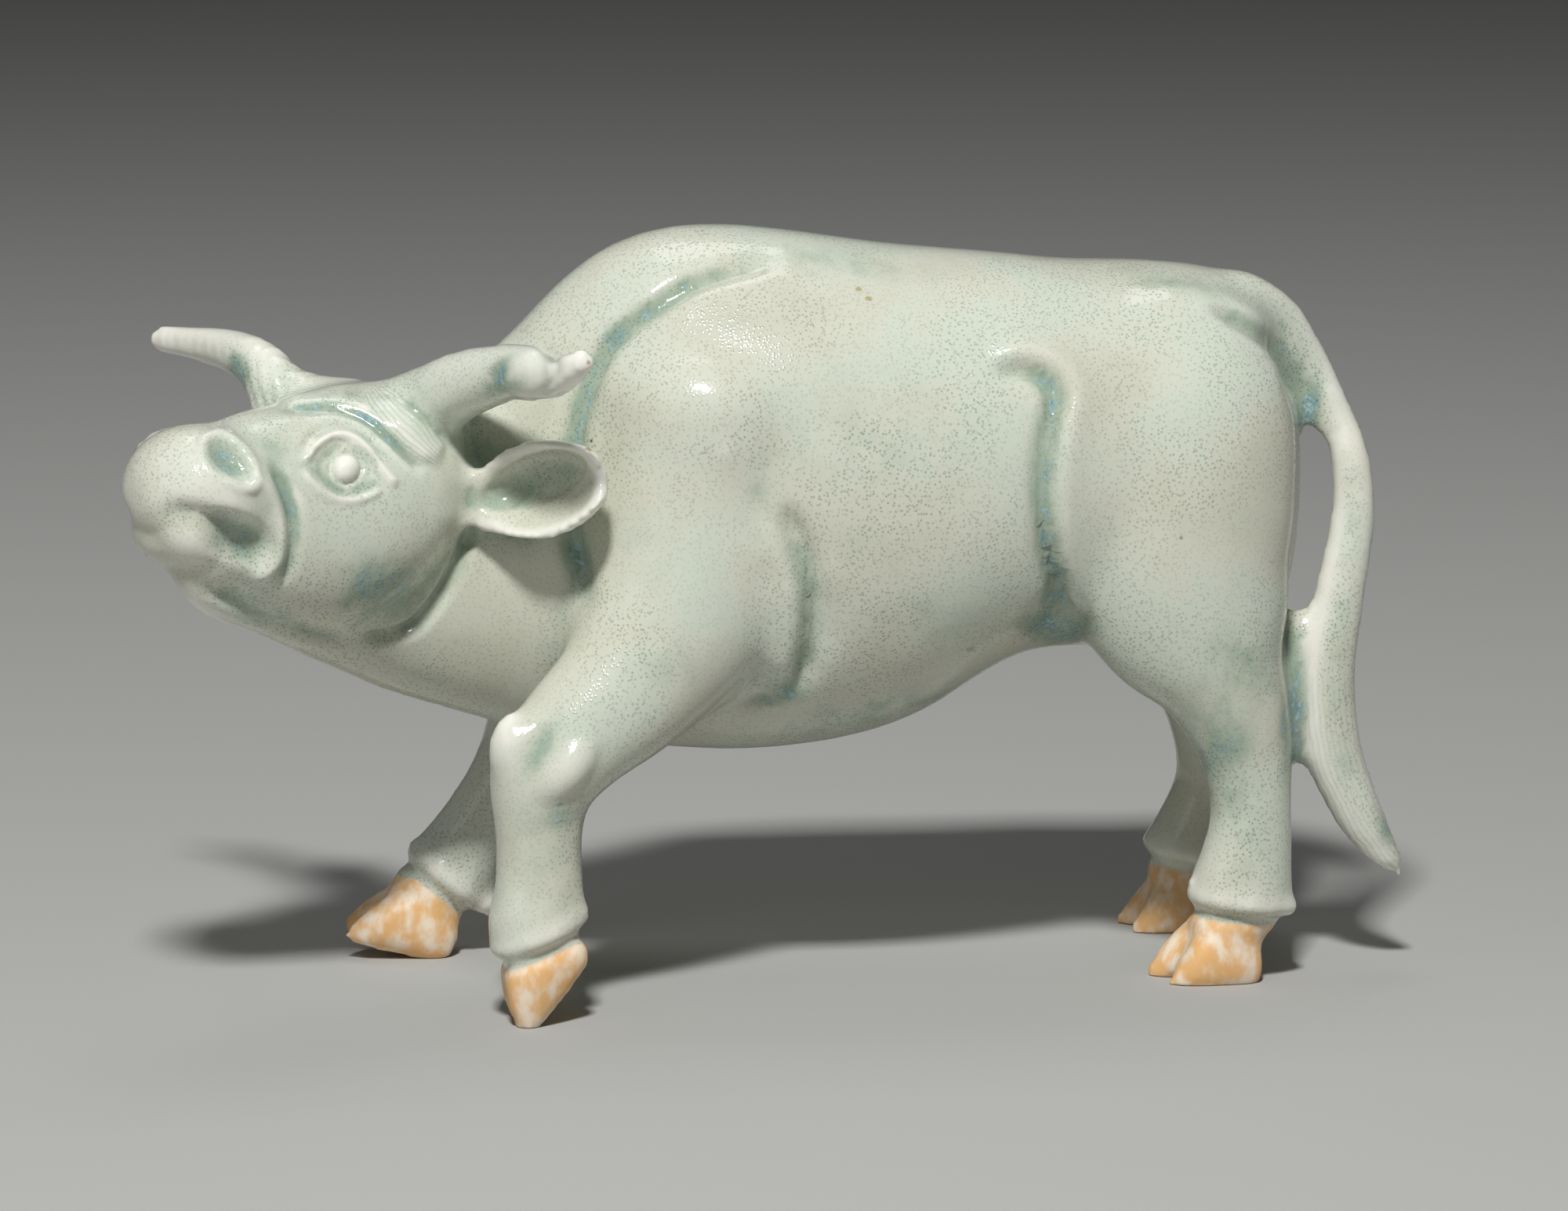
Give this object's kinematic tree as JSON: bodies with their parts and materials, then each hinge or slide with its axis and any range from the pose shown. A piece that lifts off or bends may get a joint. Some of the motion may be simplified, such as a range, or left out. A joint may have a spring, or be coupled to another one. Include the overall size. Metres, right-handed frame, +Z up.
{
  "type": "buffalo water dropper",
  "caption": "Hollow celadon porcelain water dropper shaped as a walking water buffalo with turned head, with a filling hole in the back and a fine pouring hole at the mouth.",
  "frame": {"origin": "middle of the bounding box's footprint, on the ground that the hooves stand on", "axes": "+Z up; the beast faces -X, its tail at +X, and turns its head to its left, towards -Y"},
  "size_m": [0.151, 0.0594, 0.0884],
  "materials": {
    "celadon_porcelain": "glossy transparent celadon glaze, pooled blue-green in the folds; hooves left in iron-painted matte biscuit"
  },
  "bodies": {
    "root": {"buffalo": "celadon_porcelain"}
  },
  "joints": []
}
